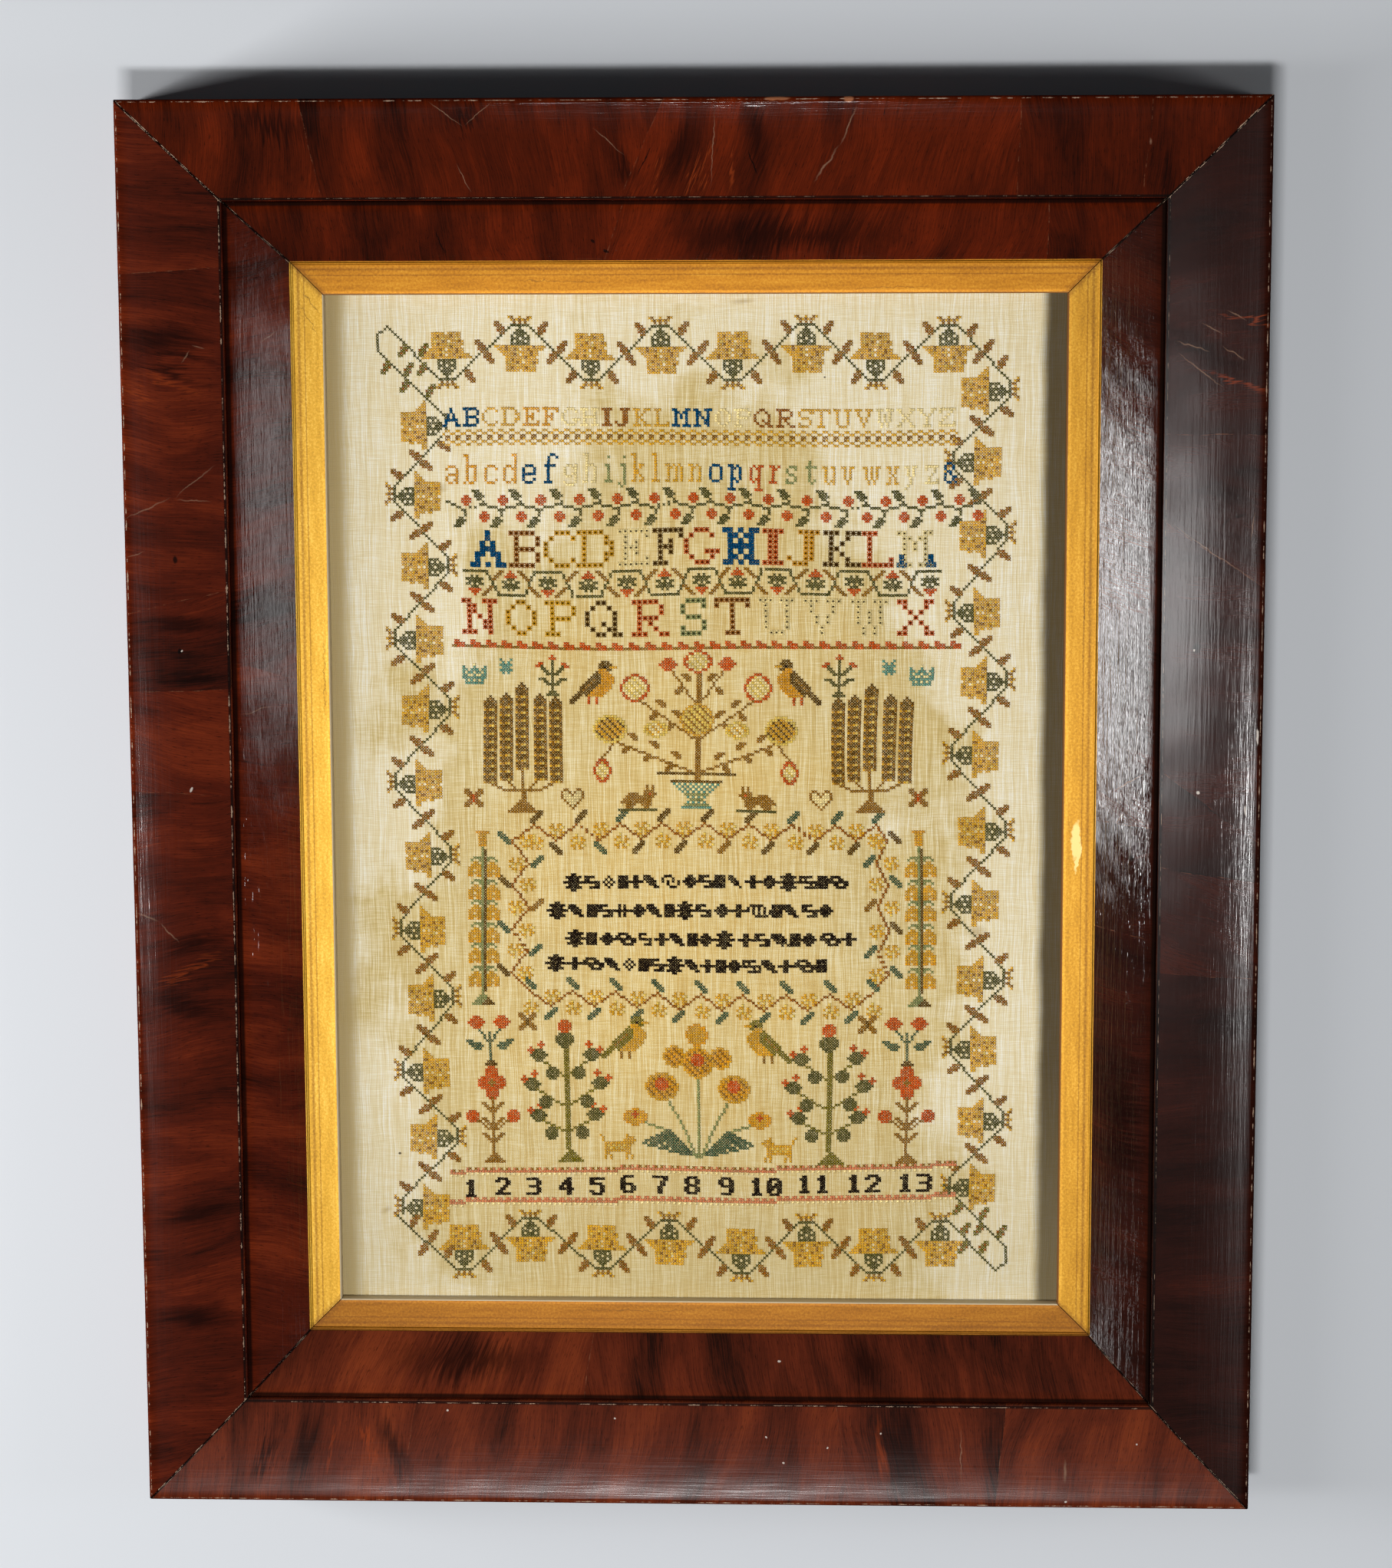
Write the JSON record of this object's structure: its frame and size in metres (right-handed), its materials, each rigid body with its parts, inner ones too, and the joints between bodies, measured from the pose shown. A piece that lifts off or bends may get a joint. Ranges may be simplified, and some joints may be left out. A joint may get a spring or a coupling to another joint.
{
  "type": "framed cross stitch sampler with its frame",
  "caption": "Rectangular cross stitch sampler on linen, stretched flat in a deep two-step veneered wood frame with a narrow gilt slip.",
  "frame": {"origin": "middle of the frame's flat back face, which lies on the surface", "axes": "+Z out of the needlework, +Y towards the top of the sampler, +X towards its right side"},
  "size_m": [0.52, 0.656, 0.05],
  "materials": {
    "outer_veneer": "polished mahogany veneer",
    "inner_veneer": "polished mahogany veneer",
    "gilding": "gold leaf over gesso on wood, worn",
    "linen": "plain woven linen, aged",
    "cross_stitch": "wool and silk thread in cross stitch",
    "pine": "bare aged pine"
  },
  "bodies": {
    "root": {"outer_rail_top": "outer_veneer", "outer_rail_left": "outer_veneer", "outer_rail_bottom": "outer_veneer", "outer_rail_right": "outer_veneer", "inner_rail_top": "inner_veneer", "inner_rail_left": "inner_veneer", "inner_rail_bottom": "inner_veneer", "inner_rail_right": "inner_veneer", "gilt_slip_top": "gilding", "gilt_slip_left": "gilding", "gilt_slip_bottom": "gilding", "gilt_slip_right": "gilding", "sampler_cloth": "linen", "back_board": "pine"}
  },
  "joints": []
}
